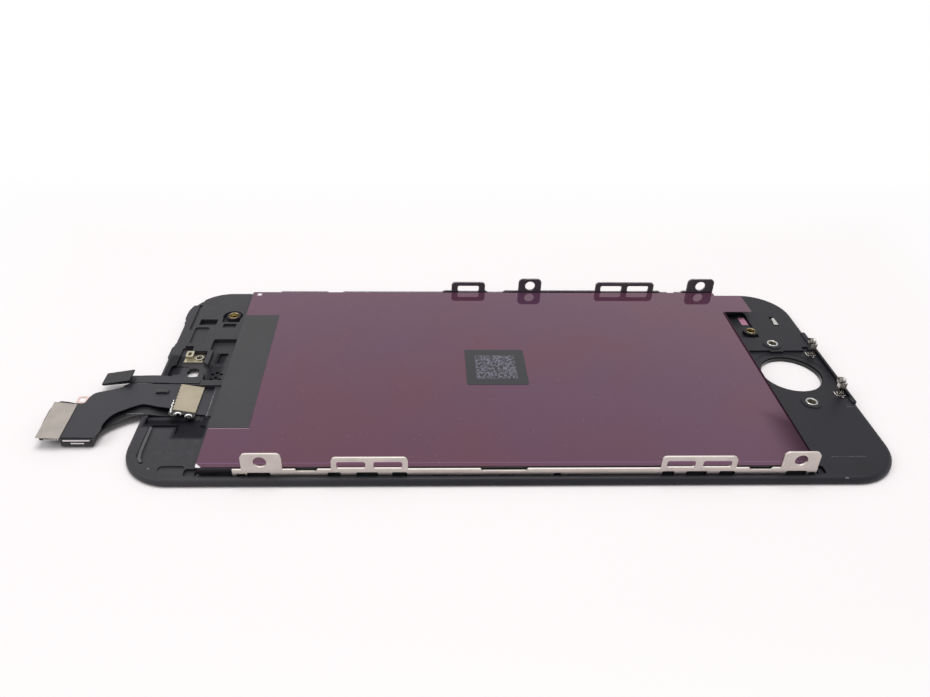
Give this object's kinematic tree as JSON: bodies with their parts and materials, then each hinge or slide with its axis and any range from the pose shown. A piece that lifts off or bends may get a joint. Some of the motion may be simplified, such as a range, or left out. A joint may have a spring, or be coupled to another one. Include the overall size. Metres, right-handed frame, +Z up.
{
  "type": "phone screen assembly",
  "caption": "Flat glass display panel for a small phone, in a moulded frame with side rails, metal inserts and ribbon connectors at one end.",
  "frame": {"origin": "centre of the cover glass's front face, which lies on the table", "axes": "+X along the length towards the button end, +Y across the width towards the far rail, +Z up out of the back"},
  "size_m": [0.1364, 0.0562, 0.0057],
  "materials": {
    "black_glass": "black printed glass, polished front",
    "clear_film": "clear adhesive",
    "dark_film": "polarizer film",
    "panel_glass": "thin glass",
    "chip_black": "moulded",
    "white_sheet": "optical sheet",
    "clear_guide": "clear moulded",
    "lamp_yellow": "phosphor lamps on a white strip",
    "tray_steel": "bright rolled steel",
    "mauve_film": "glossy mauve protective film",
    "black_tape": "satin black tape",
    "dark_label": "dark printed label with a plain grid",
    "frame_plastic": "fine matt moulded black",
    "rail_steel": "satin stamped sheet",
    "insert_steel": "turned",
    "insert_brass": "turned",
    "post_chrome": "bright plated",
    "pink_liner": "release liner",
    "contact_metal": "pale plated",
    "dried_glue": "dried glue, glossy",
    "ribbon_black": "satin black flexible circuit",
    "ribbon_grey": "satin dark flexible circuit",
    "connector_black": "moulded black",
    "pad_beige": "beige stiffener",
    "solder_bright": "bright solder",
    "plate_steel": "satin stiffener plate",
    "bare_copper": "bare copper"
  },
  "bodies": {
    "root": {"cover_glass": "black_glass", "optical_adhesive": "clear_film", "front_polarizer": "dark_film", "filter_glass": "panel_glass", "tft_glass": "panel_glass", "driver_chip": "chip_black", "rear_polarizer": "dark_film", "prism_sheet": "white_sheet", "diffuser_sheet": "white_sheet", "light_guide": "clear_guide", "led_strip": "lamp_yellow", "reflector_sheet": "white_sheet", "backlight_tray": "tray_steel", "protective_film": "mauve_film", "driver_tape": "black_tape", "center_label": "dark_label", "frame_adhesive": "black_tape", "moulded_frame": "frame_plastic", "near_rail": "rail_steel", "far_rail": "rail_steel", "steel_inserts": "insert_steel", "button_brass_insert": "insert_brass", "earpiece_brass_insert": "insert_brass", "screw_posts": "post_chrome", "pocket_liner": "pink_liner", "slot_clip": "insert_steel", "contact_plate": "contact_metal", "contact_clip": "contact_metal", "contact_eyelet": "contact_metal", "glue_bead": "dried_glue", "main_ribbon": "ribbon_black", "lower_ribbon": "ribbon_grey", "strip_ribbon": "ribbon_black", "strip_flap": "ribbon_black", "socket_body": "connector_black", "socket_pad_cover": "pad_beige", "socket_solder": "solder_bright", "ribbon_plate": "plate_steel", "plate_connector_body": "connector_black", "display_connector_body": "connector_black", "touch_connector_body": "connector_black", "shield_bars": "contact_metal", "copper_ground_tab": "bare_copper"}
  },
  "joints": []
}
